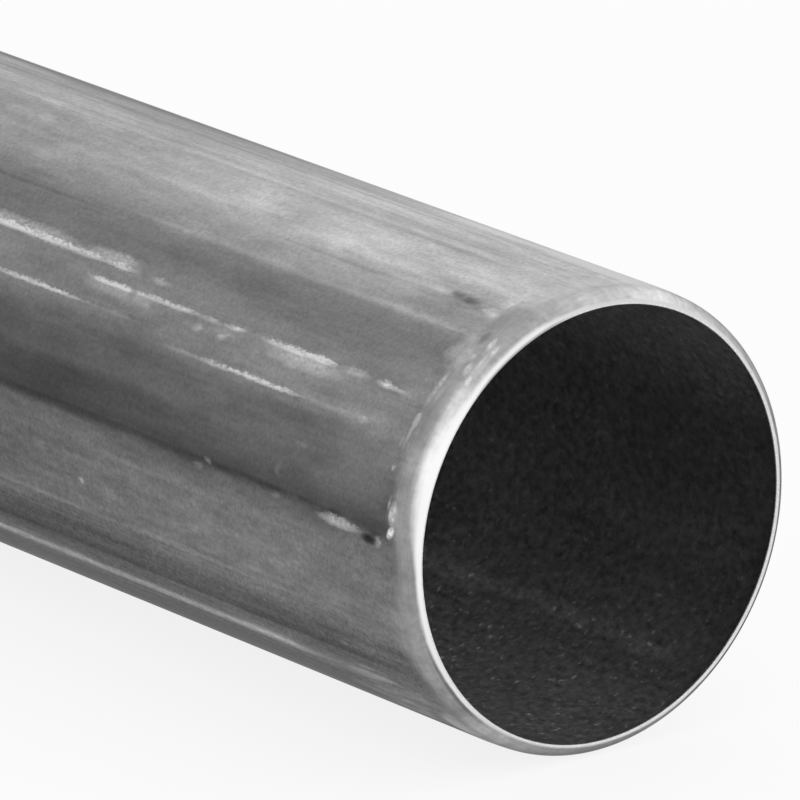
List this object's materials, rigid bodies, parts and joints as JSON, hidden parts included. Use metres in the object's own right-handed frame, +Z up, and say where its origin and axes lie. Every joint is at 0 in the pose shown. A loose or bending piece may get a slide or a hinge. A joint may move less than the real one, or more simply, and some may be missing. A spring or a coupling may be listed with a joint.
{
  "type": "zinc downpipe",
  "caption": "Straight round zinc downpipe for rainwater, with a square-cut end and, at the other end, a drawn-in rim that slips into the next piece.",
  "frame": {"origin": "centre of the bounding box's bottom, on the floor under the middle of the pipe as it lies on its side", "axes": "+X along the pipe towards the drawn-in mouth, +Z up"},
  "size_m": [2, 0.0798, 0.08],
  "materials": {
    "zinc": null
  },
  "bodies": {
    "root": {"downpipe": "zinc"}
  },
  "joints": []
}
